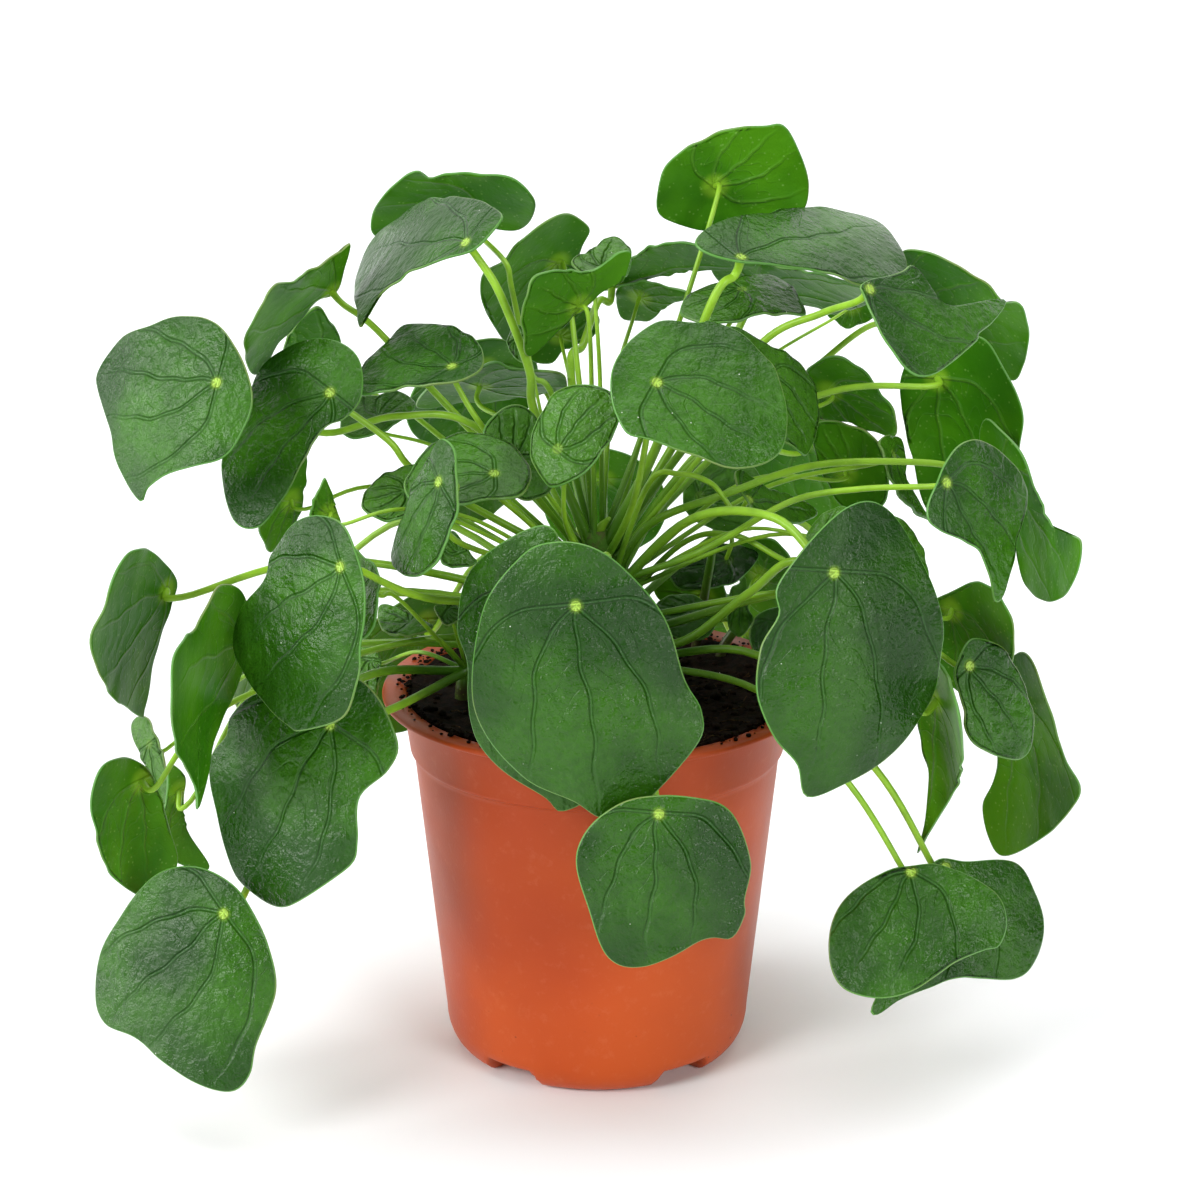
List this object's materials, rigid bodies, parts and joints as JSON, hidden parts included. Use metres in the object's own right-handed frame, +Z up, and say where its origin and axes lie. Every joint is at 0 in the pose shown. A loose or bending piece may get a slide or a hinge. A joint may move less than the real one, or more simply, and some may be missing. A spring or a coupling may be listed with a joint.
{
  "type": "potted pilea",
  "caption": "Round-leaved pilea in a tapered orange nursery pot: drooping stalks with glossy shield-shaped leaves over a filled pot with a flared lip and a notched foot",
  "frame": {"origin": "middle of the pot's underside, where the pot stands on the table", "axes": "+Z up, -Y towards the side that the picture shows, +X to the viewer's right"},
  "size_m": [0.2701, 0.2006, 0.259],
  "materials": {
    "pot": "satin",
    "soil": "loose peat soil, matt",
    "stem": "smooth green leaf stalks",
    "leaf": "waxy, glossy upper side"
  },
  "bodies": {
    "root": {"pot": "pot", "soil": "soil", "stems": "stem", "leaf_01": "leaf", "leaf_02": "leaf", "leaf_03": "leaf", "leaf_04": "leaf", "leaf_05": "leaf", "leaf_06": "leaf", "leaf_07": "leaf", "leaf_08": "leaf", "leaf_09": "leaf", "leaf_10": "leaf", "leaf_11": "leaf", "leaf_12": "leaf", "leaf_13": "leaf", "leaf_14": "leaf", "leaf_15": "leaf", "leaf_16": "leaf", "leaf_17": "leaf", "leaf_18": "leaf", "leaf_19": "leaf", "leaf_20": "leaf", "leaf_21": "leaf", "leaf_22": "leaf", "leaf_23": "leaf", "leaf_24": "leaf", "leaf_25": "leaf", "leaf_26": "leaf", "leaf_27": "leaf", "leaf_28": "leaf", "leaf_29": "leaf", "leaf_30": "leaf", "leaf_31": "leaf", "leaf_32": "leaf", "leaf_33": "leaf", "leaf_34": "leaf", "leaf_35": "leaf", "leaf_36": "leaf", "leaf_37": "leaf", "leaf_38": "leaf", "leaf_39": "leaf", "leaf_40": "leaf", "leaf_41": "leaf", "leaf_42": "leaf", "leaf_43": "leaf", "leaf_44": "leaf", "leaf_45": "leaf", "leaf_46": "leaf", "leaf_47": "leaf", "leaf_48": "leaf", "leaf_49": "leaf", "leaf_50": "leaf", "leaf_51": "leaf", "leaf_52": "leaf", "leaf_53": "leaf", "leaf_54": "leaf", "leaf_55": "leaf", "leaf_56": "leaf", "leaf_57": "leaf"}
  },
  "joints": []
}
